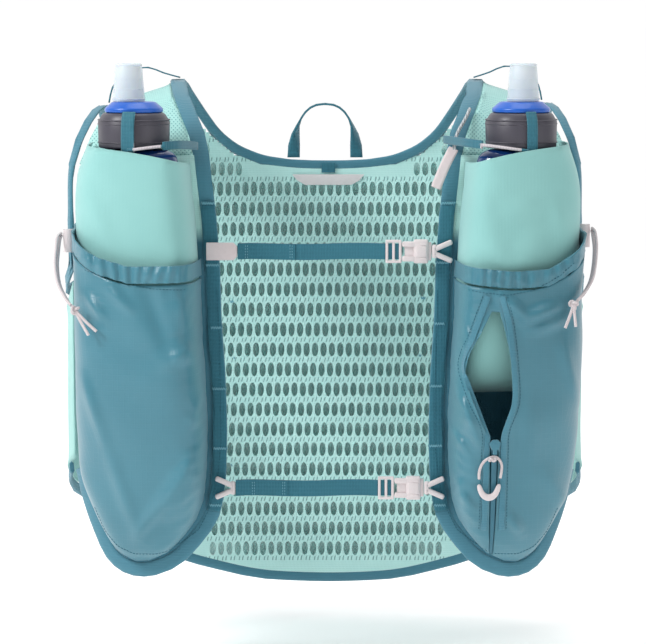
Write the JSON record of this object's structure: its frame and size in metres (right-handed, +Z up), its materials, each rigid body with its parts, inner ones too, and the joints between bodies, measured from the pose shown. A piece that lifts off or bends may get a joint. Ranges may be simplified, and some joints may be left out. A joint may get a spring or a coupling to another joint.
{
  "type": "running hydration vest",
  "caption": "Running hydration vest in its worn form, with open mesh back, front pockets, sternum straps and soft flasks.",
  "frame": {"origin": "middle of the shoulder ridge, at mid depth, where the yokes rest on the shoulders", "axes": "+Z up, -Y the front with the pockets, +X to the right of the picture"},
  "size_m": [0.4249, 0.2849, 0.4463],
  "materials": {
    "mint_mesh": "open spacer mesh",
    "aqua_knit": "fine stretch knit",
    "teal_nylon": "shiny ripstop nylon",
    "steel_teal_binding": "woven binding tape",
    "deep_teal_webbing": "ribbed webbing",
    "pale_plastic": "satin",
    "pale_cord": "braided cord and coated tape",
    "pale_label": "smooth coated label",
    "navy_film": "glossy soft film",
    "charcoal_cap": "satin",
    "blue_cap": "satin",
    "clear_cover": "frosted translucent"
  },
  "bodies": {
    "root": {"flask_body_left": "navy_film", "flask_lid_left": "charcoal_cap", "flask_cap_left": "blue_cap", "flask_cover_left": "clear_cover", "flask_loop_left": "deep_teal_webbing", "flask_body_right": "navy_film", "flask_lid_right": "charcoal_cap", "flask_cap_right": "blue_cap", "flask_cover_right": "clear_cover", "flask_loop_right": "deep_teal_webbing", "yoke_left": "mint_mesh", "daisy_webbing_left": "deep_teal_webbing", "shoulder_loop_left": "deep_teal_webbing", "front_panel_left": "mint_mesh", "side_panel_left": "mint_mesh", "flask_pocket_left": "aqua_knit", "cargo_pocket_left": "teal_nylon", "cargo_hem_left": "teal_nylon", "edge_binding_left": "steel_teal_binding", "armhole_binding_left": "steel_teal_binding", "cord_lock_left": "pale_plastic", "drawcord_a_left": "pale_cord", "drawcord_b_left": "pale_cord", "drawcord_knot_left": "pale_cord", "yoke_right": "mint_mesh", "daisy_webbing_right": "deep_teal_webbing", "shoulder_loop_right": "deep_teal_webbing", "front_panel_right": "mint_mesh", "side_panel_right": "mint_mesh", "flask_pocket_right": "aqua_knit", "cargo_pocket_right": "teal_nylon", "cargo_hem_right": "teal_nylon", "edge_binding_right": "steel_teal_binding", "armhole_binding_right": "steel_teal_binding", "cord_lock_right": "pale_plastic", "drawcord_a_right": "pale_cord", "drawcord_b_right": "pale_cord", "drawcord_knot_right": "pale_cord", "back_panel": "mint_mesh", "back_outer_layer": "aqua_knit", "neck_binding": "steel_teal_binding", "back_hem_binding": "steel_teal_binding", "hang_loop": "deep_teal_webbing", "neck_tab": "deep_teal_webbing", "neck_label": "pale_label", "upper_strap": "deep_teal_webbing", "upper_slider": "pale_plastic", "upper_buckle": "pale_plastic", "upper_hook": "pale_plastic", "lower_strap": "deep_teal_webbing", "lower_slider": "pale_plastic", "lower_buckle": "pale_plastic", "lower_hook": "pale_plastic", "upper_strap_tab": "pale_plastic", "lower_end_hook": "pale_plastic", "pull_tab": "pale_cord", "zip_tape": "deep_teal_webbing", "zip_slider": "pale_plastic", "zip_grip": "pale_plastic", "zip_pull_cord": "pale_cord"}
  },
  "joints": []
}
